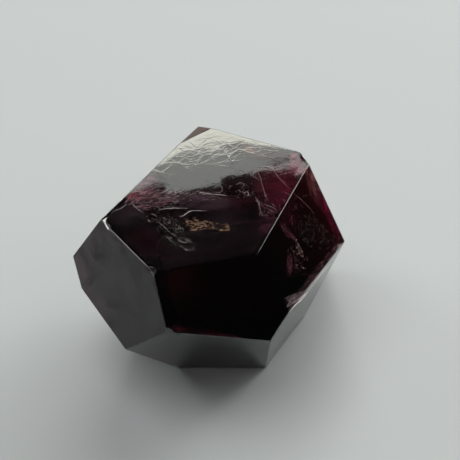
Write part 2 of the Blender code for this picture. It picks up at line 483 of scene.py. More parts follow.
RIGHT_COVER = (
    ((1.0, 6.0), (4.4, 2.8), 20.0, 0.5, 1.0, 1.0, 0.2),
    # Painted glow: a faint solid band along the right rim.
    ((10.0, 0.6), (2.6, 9.0), -6.0, 0.6, 1.2, 1.0, 0.2),
    ((4.6, -2.0), (4.4, 4.8), -20.0, 0.5, 1.0, 1.0, 0.0),
    # Painted glow: a narrow solid band along the right rim, which carries the salmon and raspberry glow.
    ((11.2, 0.6), (1.5, 9.4), -5.0, 0.6, 0.6, 1.0, 0.75),
    ((-2.5, 3.4), (0.6, 2.3), 18.0, 0.4, 0.6, 1.0, 0.4),
    ((-6.9, -0.9), (1.8, 0.9), 40.0, 0.4, 0.6, 1.0, 0.3),
    ((-1.0, -6.9), (11.5, 0.7), -5.0, 0.5, 0.6, 1.0, 0.25),
)
FRONT_BASE_TONE = (0.3, 0.05, 0.09)
FRONT_TONES = (((-7.0, 5.6), (3.4, 3.0), 0.0, 0.5, 0.8, 1.0, (0.34, 0.05, 0.06)),)
FRONT_COVER = (
    ((-2.0, -6.4), (10.5, 0.9), -25.0, 0.6, 0.8, 1.0, 0.5),
    ((-7.0, 5.0), (3.4, 3.8), 0.0, 0.6, 1.2, 1.0, 0.1),
)
LEFT_BASE_TONE = (0.4, 0.38, 0.38)
LEFT_TONES = (
    ((-8.0, -5.8), (7.0, 2.0), -45.0, 0.7, 1.2, 1.0, (0.52, 0.38, 0.42)),
    ((-6.6, -10.4), (6.0, 1.0), -32.0, 0.5, 0.8, 1.0, (0.5, 0.24, 0.3)),
)
LEFT_COVER = (
    ((-8.0, -5.8), (7.0, 2.0), -45.0, 0.7, 1.2, 1.0, 0.25),
    ((-6.6, -10.4), (6.0, 1.0), -32.0, 0.5, 0.8, 1.0, 0.3),
)

# Each veil: its depth, how far its rim keeps inside the stone, its base tone, patches and
# cover, its streaks (slant, stretch, size, low, high), and how solid it is elsewhere.
VEILS = {
    "crown": (0.25, 0.7, CROWN_BASE_TONE, CROWN_TONES, CROWN_COVER, (18.0, 3.0, 1.6, 0.35, 0.75), 0.13),
    "right": (0.3, 0.6, RIGHT_BASE_TONE, RIGHT_TONES, RIGHT_COVER, (70.0, 2.2, 1.2, 0.42, 0.62), 0.015),
    "front": (0.3, 0.6, FRONT_BASE_TONE, FRONT_TONES, FRONT_COVER, (-19.0, 2.0, 1.2, 0.35, 0.7), 0.0),
    "left": (0.2, 0.6, LEFT_BASE_TONE, LEFT_TONES, LEFT_COVER, (-30.0, 2.0, 3.0, 0.35, 0.7), 0.03),
}

# How solid a veil is: so much of it in its wisps, over so much everywhere.
VEIL_WISPS = (0.8, 0.2)
VEIL_ROUGHNESS = 0.7
VEIL_SHINE = 0.1
# Streaks wander: the size of their bends and how far they sway, in millimetres.
STREAK_BEND = 6.0
STREAK_SWAY = 2.5
# How wide the ragged bites in a patch's rim are, over how deep they go.
RAGGED_SPREAD = 1.5
# The sheet itself: its grid, how it ripples as a share of its depth, and its thickness.
VEIL_GRID = 0.7 * MM
VEIL_RIPPLE = 3.0 * MM
VEIL_RIPPLE_SHARE = 0.35
VEIL_SEED = 7.0
VEIL_THICKNESS = 0.02 * MM

# Names of the layers stored on meshes.
FACET_MAP = "facet_mm"
CRINKLED = "crinkled"
RUBBED = "rubbed"
GIRTH = "girth"

# ---------------------------------------------------------------------------
# Studio
# ---------------------------------------------------------------------------

CAMERA_PLACE = Vector((3.393, -127.761, 138.325)) * MM
CAMERA_DIP = math.radians(41.2)
CAMERA_LENS = 70.43
CAMERA_SENSOR = 36.0
CAMERA_NEAREST = 0.005
CAMERA_FURTHEST = 20.0
FLOOR_RADIUS = 0.42
FLOOR_SIDES = 96
FLOOR_COLOUR = (0.57, 0.595, 0.59)
FLOOR_ROUGHNESS = 0.9
FLOOR_SHINE = 0.2
ROOM_LEVEL = 0.012
ROOM_COLOUR = (0.9, 1.0, 1.0)
BACKDROP_COLOUR = (0.52, 0.55, 0.55)

# Softboxes stand round the stone, most of them behind it. Each is (heading, its left and right
# side over its distance, its bottom and top over its distance, brightness, colour). The blind
# above the window hangs unevenly, so it is five boxes side by side.
SOFTBOX_DISTANCE = 1.2
WINDOW_WAY = 110.6
BLIND_LEVEL = 1.9
BLIND_COLOUR = (0.95, 1.0, 0.94)
WHITE = (1.0, 1.0, 1.0)
SOFTBOXES = {
    "window": (WINDOW_WAY, (0.05, 1.25), (0.8, 1.3), 7.5, (1.0, 1.0, 0.97)),
    "window_haze": (WINDOW_WAY, (0.05, 0.846), (1.3, 1.435), 6.4, (0.96, 0.99, 0.87)),
    "blind_1": (WINDOW_WAY, (0.05, 0.53), (1.435, 1.54), BLIND_LEVEL, BLIND_COLOUR),
    "blind_2": (WINDOW_WAY, (0.53, 0.66), (1.435, 1.565), BLIND_LEVEL, BLIND_COLOUR),
    "blind_3": (WINDOW_WAY, (0.66, 0.745), (1.435, 1.535), BLIND_LEVEL, BLIND_COLOUR),
    "blind_4": (WINDOW_WAY, (0.745, 0.846), (1.435, 1.533), BLIND_LEVEL, BLIND_COLOUR),
    "blind_5": (WINDOW_WAY, (0.846, 0.9), (1.525, 1.57), BLIND_LEVEL, BLIND_COLOUR),
    "side_right": (44.0, (-0.3, 0.36), (0.3, 0.95), 6.0, WHITE),
    "side_left": (155.0, (-0.25, 0.25), (0.45, 0.9), 4.0, (0.95, 1.0, 1.0)),
    "back_low": (100.0, (-0.3, 0.3), (0.08, 0.34), 0.8, (1.0, 0.8, 0.7)),
    "front_fill": (-66.0, (-0.8, 0.8), (0.7, 1.6), 0.5, WHITE),
    "floor_wash": (10.0, (-0.5, 0.5), (0.35, 0.95), 1.4, WHITE),
}
# Boxes that soften the shadow, and the rays that don't see them.
UNSEEN = {
    "front_fill": ("visible_glossy",),
    "floor_wash": ("visible_glossy", "visible_transmission"),
}
OVERHEAD_PLACE = (-0.42, -0.05, 1.2)
OVERHEAD_SIZE = (1.1, 0.9)
OVERHEAD_BRIGHTNESS = 2.2


def facing(heading, rise):
    """The unit direction with this heading and rise."""
    level = math.cos(math.radians(rise))
    return Vector(
        (
            level * math.cos(math.radians(heading)),
            level * math.sin(math.radians(heading)),
            math.sin(math.radians(rise)),
        )
    )


# ---------------------------------------------------------------------------
# Small helpers for node trees and meshes
# ---------------------------------------------------------------------------


def feed(tree, socket, value):
    """Link a socket to an input, or set the input's value. A colour comes without alpha."""
    if isinstance(value, bpy.types.NodeSocket):
        tree.links.new(value, socket)
    elif socket.type == "RGBA":
        socket.default_value = (*value, 1.0)
    else:
        socket.default_value = value


def wire(tree, node, inputs):
    """Feed a node's inputs, given by name or number."""
    for label, value in inputs.items():
        feed(tree, node.inputs[label], value)


def put(tree, kind, inputs=None, **settings):
    """A new node with these properties set and these inputs fed."""
    node = tree.nodes.new(kind)
    for name, value in settings.items():
        setattr(node, name, value)
    wire(tree, node, inputs or {})
    return node


def result(tree, kind, inputs=None, **settings):
    """The first output of a new node."""
    return put(tree, kind, inputs, **settings).outputs[0]


def maths(tree, operation, *values, clamp=False):
    """The output of a Math node over these values."""
    return result(tree, "ShaderNodeMath", dict(enumerate(values)), operation=operation, use_clamp=clamp)


def vector_maths(tree, operation, *values):
    """The vector of a Vector Math node over these values."""
    return result(tree, "ShaderNodeVectorMath", dict(enumerate(values)), operation=operation)


def scaled(tree, vector, factor):
    """A vector times a number."""
    return result(tree, "ShaderNodeVectorMath", {0: vector, "Scale": factor}, operation="SCALE")


def sockets(kind, *labels):
    """Named sockets of one kind, for a node group."""
    return [(label, kind) for label in labels]


def open_group(name, kind, inputs, outputs):
    """A new node group with these named sockets. Returns its tree and its two end nodes."""
    tree = bpy.data.node_groups.new(name, kind)
    for direction, named in (("INPUT", inputs), ("OUTPUT", outputs)):
        for label, socket_kind in named:
            tree.interface.new_socket(name=label, in_out=direction, socket_type=socket_kind)
    return tree, put(tree, "NodeGroupInput"), put(tree, "NodeGroupOutput")


def use_group(tree, group, **values):
    """A group node in a material, its inputs set by name. Returns its first output."""
    inputs = {label.replace("_", " ").title(): value for label, value in values.items()}
    return result(tree, "ShaderNodeGroup", inputs, node_tree=group)


def add_to_scene(thing):
    """Link a new object into the scene and return it."""
    bpy.context.scene.collection.objects.link(thing)
    return thing


def kept_mesh(name, shape):
    """The mesh of a shape, which is freed."""
    mesh = bpy.data.meshes.new(name)
    shape.to_mesh(mesh)
    shape.free()
    return mesh


def new_material(name):
    """A new material. Returns it, its tree and its shader."""
    material = bpy.data.materials.new(name)
    material.use_nodes = True
    return material, material.node_tree, material.node_tree.nodes["Principled BSDF"]


# ---------------------------------------------------------------------------
# Camera, floor and light
# ---------------------------------------------------------------------------


def make_camera():
    """A camera that looks down on the stone from the front."""
    camera = add_to_scene(bpy.data.objects.new("camera", bpy.data.cameras.new("camera")))
    camera.data.lens = CAMERA_LENS
    camera.data.sensor_width = CAMERA_SENSOR
    camera.data.clip_start = CAMERA_NEAREST
    camera.data.clip_end = CAMERA_FURTHEST
    look = Vector((0.0, math.cos(CAMERA_DIP), -math.sin(CAMERA_DIP)))
    camera.rotation_mode = "QUATERNION"
    camera.rotation_quaternion = look.to_track_quat("-Z", "Y")
    camera.location = CAMERA_PLACE
    bpy.context.scene.camera = camera


def make_floor():
    """A plain pale floor."""
    disc = bmesh.new()
    bmesh.ops.create_circle(disc, cap_ends=True, segments=FLOOR_SIDES, radius=FLOOR_RADIUS)
    mesh = kept_mesh("floor", disc)
    material, tree, shader = new_material("pale_floor")
    inputs = {
        "Base Color": FLOOR_COLOUR,
        "Roughness": FLOOR_ROUGHNESS,
        "Specular IOR Level": FLOOR_SHINE,
    }
    wire(tree, shader, inputs)
    mesh.materials.append(material)
    add_to_scene(bpy.data.objects.new("floor", mesh))


def make_room():
    """A dim room with a plain pale backdrop that only the camera sees."""
    world = bpy.data.worlds.new("studio_room")
    bpy.context.scene.world = world
    world.use_nodes = True
    tree = world.node_tree
    backdrop = tree.nodes["Background"]
    wire(tree, backdrop, {"Color": BACKDROP_COLOUR})
    room = result(tree, "ShaderNodeBackground", {"Color": ROOM_COLOUR, "Strength": ROOM_LEVEL})
    to_camera = put(tree, "ShaderNodeLightPath").outputs["Is Camera Ray"]
    mix = result(tree, "ShaderNodeMixShader", {0: to_camera, 1: room, 2: backdrop.outputs[0]})
    wire(tree, tree.nodes["World Output"], {"Surface": mix})


def make_softbox(name, heading, sides, heights, brightness, colour):
    """An upright softbox facing the stone, its sides and heights over its distance."""
    toward = facing(heading, 0.0)
    right = facing(heading - 90.0, 0.0)
    left_side, right_side = (side * SOFTBOX_DISTANCE for side in sides)
    bottom, top = (height * SOFTBOX_DISTANCE for height in heights)
    light = bpy.data.lights.new(name, "AREA")
    light.shape = "RECTANGLE"
    light.size = right_side - left_side
    light.size_y = top - bottom
    light.color = colour
    light.energy = brightness * math.pi * light.size * light.size_y
    softbox = add_to_scene(bpy.data.objects.new(name, light))
    middle = toward * SOFTBOX_DISTANCE + right * (left_side + right_side) / 2
    middle.z = (bottom + top) / 2
    turn = Matrix((right, toward.cross(right), toward)).transposed().to_4x4()
    softbox.matrix_world = Matrix.Translation(middle) @ turn
    return softbox


def make_overhead():
    """A broad oval softbox above the stone, a little to its left."""
    light = bpy.data.lights.new("overhead", "AREA")
    light.shape = "ELLIPSE"
    light.size, light.size_y = OVERHEAD_SIZE
    light.energy = OVERHEAD_BRIGHTNESS * math.pi * math.pi * light.size * light.size_y / 4
    softbox = add_to_scene(bpy.data.objects.new("overhead", light))
    softbox.location = OVERHEAD_PLACE


def make_lights():
    """Window light from behind under an uneven blind, side boxes, two fills and an overhead."""
    for name, row in SOFTBOXES.items():
        softbox = make_softbox(name, *row)
        for rays in UNSEEN.get(name, ()):
            setattr(softbox, rays, False)
    make_overhead()


# ---------------------------------------------------------------------------
# The stone's surface
# ---------------------------------------------------------------------------


def smooth_step(edge, value):
    """0 below zero, 1 above the edge, and smooth between them."""
    t = min(max(value / edge, 0.0), 1.0)
    return t * t * (3.0 - 2.0 * t)


class Facet:
    """One flat facet of the stone, with its own directions across and up it."""

    def __init__(self, name, faces):
        self.name = name
        self.normal = facing(*FACET_FACINGS[name])
        areas = [face.calc_area() for face in faces]
        middles = [face.calc_center_median_weighted() * area for face, area in zip(faces, areas)]
        self.centre = sum(middles, Vector()) / sum(areas)
        self.offset = self.normal.dot(self.centre)
        sideways = Vector((0.0, 0.0, 1.0)).cross(self.normal)
        if abs(self.normal.z) > NEARLY_UPRIGHT:
            sideways = Vector((1.0, 0.0, 0.0))
        sideways -= self.normal * sideways.dot(self.normal)
        self.across = sideways.normalized()
        self.up = self.normal.cross(self.across)

    def at(self, across, up, depth=0.0):
        """A point under the facet, in millimetres across, up and below its centre."""
        flat = self.centre + (self.across * across + self.up * up) * MM
        return flat - self.normal * depth * MM

    def holds(self, point, slack):
        """Whether a point of the stone lies on the facet, or no more than the slack under it."""
        return self.normal.dot(point) > self.offset - slack


def whole_stone():
    """The CAD node's mesh, merged, with every facet back as one flat face."""
    stone = bmesh.new()
    stone.from_mesh(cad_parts[NODE].data)
    bmesh.ops.remove_doubles(stone, verts=stone.verts[:], dist=MERGE)
    bmesh.ops.dissolve_limit(stone, angle_limit=FLAT_ANGLE, verts=stone.verts[:], edges=stone.edges[:])
    return stone


def find_facets(stone):
    """Every named facet, from the large flat faces of the merged stone."""
    facets = {}
    for name, way in FACET_FACINGS.items():
        normal = facing(*way)
        large = [face for face in stone.faces if face.calc_area() > FACET_LEAST_AREA]
        facets[name] = Facet(name, [face for face in large if face.normal.dot(normal) > FACET_MATCH])
    return facets


def cut(shape, place, way, **cleared):
    """Cut all of a shape along a plane."""
    whole = shape.verts[:] + shape.edges[:] + shape.faces[:]
    bmesh.ops.bisect_plane(shape, geom=whole, dist=CUT_MERGE, plane_co=place, plane_no=way, **cleared)


def slice_evenly(shape, way, spacing):
    """Cut a shape into even slices along a direction."""
    reaches = [way.dot(point.co) for point in shape.verts]
    low = min(reaches)
    high = max(reaches)
    count = int((high - low) / spacing)
    for step in range(1, count):
        cut(shape, way * (low + (high - low) * step / count), way)


def rim_distance(point, own, facets):
    """How far a point on a facet is from the facet's nearest edge."""
    nearest = 1.0
    for other in facets.values():
        if other is own:
            continue
        lean = own.normal.dot(other.normal)
        spread = math.sqrt(max(1.0 - lean * lean, 1e-9))
        nearest = min(nearest, (other.offset - other.normal.dot(point)) / spread)
    return nearest


def wave_stone(stone, facets):
    """Sink each facet by up to a few hundredths of a millimetre of polishing waves."""
    for point in stone.verts:
        own = None
        for facet in facets.values():
            if abs(facet.normal.dot(point.co) - facet.offset) < ON_FACET:
                own = facet
        if own is None or own.name == "base":
            continue
        strength = smooth_step(WAVE_FADE, rim_distance(point.co, own, facets) - WAVE_RIM)
        seed = own.normal * WAVE_SEED
        broad = (1.0 - noise.noise(point.co / WAVE_BROAD + seed)) / 2
        small = (1.0 - noise.noise(point.co / WAVE_SMALL + seed)) / 2
        sink = broad * WAVE_BROAD_DEPTH + small * WAVE_SMALL_DEPTH
        point.co -= own.normal * sink * strength


def soft_normals(mesh, facets):
    """Shade the stone so its facets stay flat and its worn edges turn smoothly."""
    flat = [facet.normal for facet in facets.values()]
    normals = [Vector() for _ in mesh.vertices]
    for face in mesh.polygons:
        on_facet = max(face.normal.dot(normal) for normal in flat) > FACET_LIKENESS
        weight = face.area * (FACET_WEIGHT if on_facet else 1.0)
        for index in face.vertices:
            normals[index] += face.normal * weight
    mesh.shade_smooth()
    mesh.normals_split_custom_set_from_vertices([normal.normalized() for normal in normals])


# ---------------------------------------------------------------------------
# Shared node patterns. Places are in millimetres in materials, in metres in Geometry Nodes.
# ---------------------------------------------------------------------------


def noise_at(tree, place, size, detail=2.0, roughness=0.5, seed=None):
    """A noise texture whose blobs are about this size, in the units of the place."""
    inputs = {
        "Vector": place,
        "Scale": maths(tree, "DIVIDE", 1.0, size),
        "Detail": detail,
        "Roughness": roughness,
    }
    if seed is None:
        return put(tree, "ShaderNodeTexNoise", inputs)
    inputs["W"] = seed
    return put(tree, "ShaderNodeTexNoise", inputs, noise_dimensions="4D")


def shift_by(tree, texture, strength):
    """An offset that wanders to every side as a noise texture does."""
    centred = vector_maths(tree, "SUBTRACT", texture.outputs["Color"], (0.5, 0.5, 0.5))
    return scaled(tree, centred, strength)


def bent(tree, place, texture, strength):
    """A place pushed about as a noise texture does."""
    push = scaled(tree, texture.outputs["Color"], strength)
    return vector_maths(tree, "ADD", place, push)


def turned(tree, place, middle, turn):
    """A place seen from a middle, along axes turned anticlockwise by an angle in radians."""
    inputs = {"Vector": vector_maths(tree, "SUBTRACT", place, middle), "Angle": turn}
    return result(tree, "ShaderNodeVectorRotate", inputs, rotation_type="Z_AXIS", invert=True)


def drawn_out(tree, place, turn, stretch):
    """A place along turned axes, squeezed so that a pattern on it is drawn out along the first."""
    seen = turned(tree, place, (0.0, 0.0, 0.0), turn)
    inputs = {"X": maths(tree, "DIVIDE", 1.0, stretch), "Y": 1.0, "Z": 1.0}
    return vector_maths(tree, "MULTIPLY", seen, result(tree, "ShaderNodeCombineXYZ", inputs))


def ramp_between(tree, value, low, high):
    """0 below low, 1 above high, and smooth between them."""
    inputs = {"Value": value, "From Min": low, "From Max": high}
    return result(tree, "ShaderNodeMapRange", inputs, interpolation_type="SMOOTHSTEP")


def mix_colours(tree, share, first, second):
    """Two colours mixed by a share of the second. Returns the colour."""
    return put(tree, "ShaderNodeMix", {0: share, 6: first, 7: second}, data_type="RGBA").outputs[2]


def object_place(tree):
    """The shading point in millimetres."""
    return scaled(tree, put(tree, "ShaderNodeTexCoord").outputs["Object"], 1.0 / MM)


def layer_value(tree, name):
    """A number stored on the mesh."""
    return put(tree, "ShaderNodeAttribute", attribute_name=name).outputs["Fac"]


# ---------------------------------------------------------------------------
# Shared shader effects
# ---------------------------------------------------------------------------

VECTOR = "NodeSocketVector"
NUMBER = "NodeSocketFloat"
COLOUR = "NodeSocketColor"


def shader_group(name, inputs, output, kind=NUMBER):
    """A new shader node group: its tree, its inputs, the first a place, and its output."""
    inputs = sockets(VECTOR, "Place") + inputs
    tree, start, end = open_group(name, "ShaderNodeTree", inputs, sockets(kind, output))
    return tree, start.outputs, end.inputs[output]


def patch_group():
    """A ragged oval patch: 1 inside it, 0 outside."""
    inputs = sockets(VECTOR, "Middle", "Half Size")
    inputs += sockets(NUMBER, "Turn", "Fade", "Ragged", "Ragged Size")
    tree, given, end = shader_group("ragged_patch", inputs, "Mask")
    ripple = noise_at(tree, given["Place"], given["Ragged Size"], detail=3.0)
    shift = shift_by(tree, ripple, given["Ragged"])
    shifted = vector_maths(tree, "ADD", given["Place"], shift)
    seen = turned(tree, shifted, given["Middle"], given["Turn"])
    shrunk = vector_maths(tree, "DIVIDE", seen, given["Half Size"])
    flat = vector_maths(tree, "MULTIPLY", shrunk, (1.0, 1.0, 0.0))
    reach = put(tree, "ShaderNodeVectorMath", {0: flat}, operation="LENGTH").outputs["Value"]
    inner = maths(tree, "SUBTRACT", 1.0, given["Fade"])
    outer = maths(tree, "ADD", 1.0, given["Fade"])
    feed(tree, end, maths(tree, "SUBTRACT", 1.0, ramp_between(tree, reach, inner, outer)))
    return tree


def streak_group():
    """Drawn-out streaks of noise: 0 between them, 1 in them."""
    inputs = sockets(NUMBER, "Turn", "Stretch", "Size", "Low", "High")
    tree, given, end = shader_group("streaks", inputs, "Mask")
    wavering = bent(tree, given["Place"], noise_at(tree, given["Place"], STREAK_BEND), STREAK_SWAY)
    drawn = drawn_out(tree, wavering, given["Turn"], given["Stretch"])
    grain = noise_at(tree, drawn, given["Size"], detail=4.0, roughness=0.6)
    feed(tree, end, ramp_between(tree, grain.outputs["Fac"], given["Low"], given["High"]))
    return tree


def mottle_group():
    """Two colours mixed in soft blotches."""
    inputs = sockets(NUMBER, "Size") + sockets(COLOUR, "First", "Second")
    tree, given, end = shader_group("mottle", inputs, "Colour", COLOUR)
    blotch = noise_at(tree, given["Place"], given["Size"], detail=3.0)
    share = ramp_between(tree, blotch.outputs["Fac"], *BLOTCH_FADE)
    feed(tree, end, mix_colours(tree, share, given["First"], given["Second"]))
    return tree


def crinkle_group():
    """Height of a crinkled polish: fine ridges that cross one another, and soft dips."""
    inputs = sockets(NUMBER, "Size", "Turn", "Stretch", "Ridge Width", "Ridge Height")
    tree, given, end = shader_group("crinkle", inputs, "Height")
    drawn = drawn_out(tree, given["Place"], given["Turn"], given["Stretch"])
    bend = noise_at(tree, drawn, maths(tree, "MULTIPLY", given["Size"], CRINKLE_BEND), detail=3.0)
    wavering = bent(tree, drawn, bend, maths(tree, "MULTIPLY", given["Size"], CRINKLE_SWAY))
    inputs = {"Vector": wavering, "Scale": maths(tree, "DIVIDE", 1.0, given["Size"])}
    cells = put(tree, "ShaderNodeTexVoronoi", inputs, feature="DISTANCE_TO_EDGE")
    flat = ramp_between(tree, cells.outputs["Distance"], 0.0, given["Ridge Width"])
    dips = noise_at(tree, wavering, given["Size"], detail=4.0)
    ridges = maths(tree, "MULTIPLY", maths(tree, "SUBTRACT", 1.0, flat), given["Ridge Height"])
    feed(tree, end, maths(tree, "MULTIPLY_ADD", dips.outputs["Fac"], CRINKLE_DIPS, ridges))
    return tree


# ---------------------------------------------------------------------------
# Materials
# ---------------------------------------------------------------------------


def garnet_material():
    """Clear dark red garnet, polished by hand."""
    material, tree, shader = new_material("garnet_polished")
    place = object_place(tree)
    scratches = use_group(tree, streaks, place=place, **SCRATCHES)
    fine = maths(tree, "MULTIPLY_ADD", scratches, *FINE_POLISH)
    dull = maths(tree, "MULTIPLY_ADD", scratches, *RUBBED_POLISH)
    rub = maths(tree, "MULTIPLY", layer_value(tree, RUBBED), dull)
    ridges = use_group(tree, crinkle, place=place, **FINE_CRINKLE)
    folds = use_group(tree, crinkle, place=place, **COARSE_CRINKLE)
    height = maths(tree, "ADD", ridges, maths(tree, "MULTIPLY", folds, COARSE_SHARE))
    height = maths(tree, "MULTIPLY", height, layer_value(tree, CRINKLED))
    inputs = {
        "Base Color": GARNET_TINT,
        "Roughness": maths(tree, "ADD", fine, rub),
        "IOR": GARNET_IOR,
        "Specular IOR Level": GARNET_SHINE,
        "Transmission Weight": 1.0,
        "Normal": result(tree, "ShaderNodeBump", {"Distance": CRINKLE_DEPTH, "Height": height}),
    }
    wire(tree, shader, inputs)
    drink = {"Color": ABSORPTION_COLOUR, "Density": ABSORPTION_DENSITY}
    absorption = result(tree, "ShaderNodeVolumeAbsorption", drink)
    wire(tree, tree.nodes["Material Output"], {"Volume": absorption})
    return material


def inclusion_material(name, first, second, blotch, mirror):
    """A pale crack filling or flake, mottled between two colours and partly a mirror."""
    material, tree, shader = new_material(name)
    colour = use_group(tree, mottle, place=object_place(tree), size=blotch, first=first, second=second)
    wire(tree, shader, {"Base Color": colour, "Roughness": FLAKE_ROUGHNESS, "Metallic": mirror})
    return material


def painted_patches(tree, place, patches, base):
    """A colour made by laying soft patches of colour over a base colour."""
    colour = base
    for middle, half_size, turn, fade, ragged, share, tone in patches:
        values = {
            "middle": middle + (0.0,),
            "half_size": half_size + (1.0,),
            "turn": math.radians(turn),
            "fade": fade,
            "ragged": ragged,
            "ragged_size": ragged * RAGGED_SPREAD,
        }
        mask = use_group(tree, patch, place=place, **values)
        colour = mix_colours(tree, maths(tree, "MULTIPLY", mask, share), colour, tone)
    return colour


def grey(level):
    """A grey of this level."""
    return (level, level, level)


def veil_material(name, base, tones, covers, streak, cover):
    """A wispy veil. Its tones carry colour, and its covers say how solid it is."""
    material, tree, shader = new_material(name)
    place = put(tree, "ShaderNodeUVMap", uv_map=FACET_MAP).outputs["UV"]
    turn, stretch, size, low, high = streak
    values = {"turn": math.radians(turn), "stretch": stretch, "size": size, "low": low, "high": high}
    wisps = use_group(tree, streaks, place=place, **values)
    thickness = maths(tree, "MULTIPLY_ADD", wisps, *VEIL_WISPS)
    covers = [(*row, grey(level)) for *row, level in covers]
    solid = painted_patches(tree, place, covers, grey(cover))
    inputs = {
        "Base Color": painted_patches(tree, place, tones, base),
        "Roughness": VEIL_ROUGHNESS,
        "Specular IOR Level": VEIL_SHINE,
        "Alpha": maths(tree, "MULTIPLY", solid, thickness, clamp=True),
    }
    wire(tree, shader, inputs)
    return material


# ---------------------------------------------------------------------------
# The stone itself
# ---------------------------------------------------------------------------


def finish_piece(name, mesh, material):
    """Show a mesh as a piece that rides on the stone's body."""
    mesh.materials.clear()
    mesh.materials.append(material)
    piece = add_to_scene(bpy.data.objects.new(name, mesh))
    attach(piece, BODY)
    return piece


def store_finish(mesh, facets):
    """Store how strongly the polish is crinkled and how dull it is at each point."""
    crown = facets["crown"]
    slope = crown.up * math.cos(CRINKLE_LEAN) - crown.across * math.sin(CRINKLE_LEAN)
    crinkled = mesh.attributes.new(CRINKLED, "FLOAT", "POINT")
    rubbed = mesh.attributes.new(RUBBED, "FLOAT", "POINT")
    for vertex, crinkle_value, rub_value in zip(mesh.vertices, crinkled.data, rubbed.data):
        crinkle_value.value = CRINKLE_ELSEWHERE
        if crown.holds(vertex.co, NEAR_FACET):
            height = slope.dot(vertex.co - crown.centre)
            share = smooth_step(CRINKLE_BAND, height - CRINKLE_START)
            strength = CRINKLE_LEAST + (CRINKLE_MOST - CRINKLE_LEAST) * share
            inside = smooth_step(CRINKLE_RIM, rim_distance(vertex.co, crown, facets))
            crinkle_value.value += (strength - CRINKLE_ELSEWHERE) * inside
        for name, amount in RUBBED_FACETS.items():
            if facets[name].holds(vertex.co, NEAR_FACET):
                rub_value.value = amount


def make_stone(facets, stone):
    """The visible stone, in place of the plain CAD solid."""
    for axis in ((1.0, 0.0, 0.0), (0.0, 1.0, 0.0), (0.0, 0.0, 1.0)):
        slice_evenly(stone, Vector(axis), SLICE)
    bmesh.ops.dissolve_degenerate(stone, dist=MERGE, edges=stone.edges[:])
    wave_stone(stone, facets)
    mesh = kept_mesh("polished_garnet", stone)
    soft_normals(mesh, facets)
    store_finish(mesh, facets)
    body = finish_piece("polished_garnet", mesh, garnet_material())
    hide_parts(NODE)


# ---------------------------------------------------------------------------
# Veils: thin wrinkled sheets just under a facet
# ---------------------------------------------------------------------------


def make_veil(name, facet, depth, shrink, material):
    """A thin closed sheet under a facet, mapped in millimetres across and up it."""
    sheet = whole_stone()
    cut(sheet, facet.at(0.0, 0.0, depth), facet.normal, clear_inner=True, clear_outer=True)
    bmesh.ops.edgeloop_fill(sheet, edges=sheet.edges[:])
    middle = sum((point.co for point in sheet.verts), Vector()) / len(sheet.verts)
    for point in sheet.verts:
        arm = point.co - middle
        point.co = middle + arm * (1.0 - shrink * MM / arm.length)
    slice_evenly(sheet, facet.across, VEIL_GRID)
    slice_evenly(sheet, facet.up, VEIL_GRID)
    for point in sheet.verts:
        ripple = noise.noise(point.co / VEIL_RIPPLE + facet.normal * VEIL_SEED)
        point.co += facet.normal * ripple * depth * VEIL_RIPPLE_SHARE * MM
    bmesh.ops.recalc_face_normals(sheet, faces=sheet.faces[:])
    bmesh.ops.solidify(sheet, geom=sheet.faces[:], thickness=VEIL_THICKNESS)
    bmesh.ops.recalc_face_normals(sheet, faces=sheet.faces[:])
    layer = sheet.loops.layers.uv.new(FACET_MAP)
    for face in sheet.faces:
        face.smooth = True
        for loop in face.loops:
            arm = (loop.vert.co - facet.centre) / MM
            loop[layer].uv = (arm.dot(facet.across), arm.dot(facet.up))
    finish_piece(name, kept_mesh(name, sheet), material)


# ---------------------------------------------------------------------------
# Threads, flakes and hairs, grown by Geometry Nodes
# ---------------------------------------------------------------------------

GEOMETRY = "NodeSocketGeometry"
WHOLE = "NodeSocketInt"
MATERIAL = "NodeSocketMaterial"
GROWTH_INPUTS = sockets(WHOLE, "Seed") + sockets(MATERIAL, "Material")
SCATTER_INPUTS = sockets(NUMBER, "Density", "Clump Size", "Clump Edge", "Scatter")
SCATTER_INPUTS += sockets(VECTOR, "Facing", "Along") + GROWTH_INPUTS


def geometry_group(name, inputs):
    """A new Geometry Nodes tree that takes and gives one geometry."""
    shape = sockets(GEOMETRY, "Geometry")
    tree, start, end = open_group(name, "GeometryNodeTree", shape + inputs, shape)
    tree.is_modifier = True
    return tree, start.outputs, end.inputs["Geometry"]


def close_tree(tree, given, shape, end):
    """Finish a tree: real geometry, smooth faces, one material."""
    real = result(tree, "GeometryNodeRealizeInstances", {"Geometry": shape})
    smooth = result(tree, "GeometryNodeSetShadeSmooth", {"Geometry": real})
    clad = {"Geometry": smooth, "Material": given["Material"]}
    feed(tree, end, result(tree, "GeometryNodeSetMaterial", clad))


def random_value(tree, seed, offset, least, most, kind="FLOAT"):
    """A random number or vector for each element."""
    first = 2 if kind == "FLOAT" else 0
    inputs = {first: least, first + 1: most, "Seed": maths(tree, "ADD", seed, float(offset))}
    node = put(tree, "FunctionNodeRandomValue", inputs, data_type=kind)
    return node.outputs[1 if kind == "FLOAT" else 0]


def wandering(tree, shape, size, strength, seed):
    """A shape whose points wander off their places."""
    position = result(tree, "GeometryNodeInputPosition")
    texture = noise_at(tree, position, size, detail=3.0, seed=seed)
    inputs = {"Geometry": shape, "Offset": shift_by(tree, texture, strength)}
    return result(tree, "GeometryNodeSetPosition", inputs)


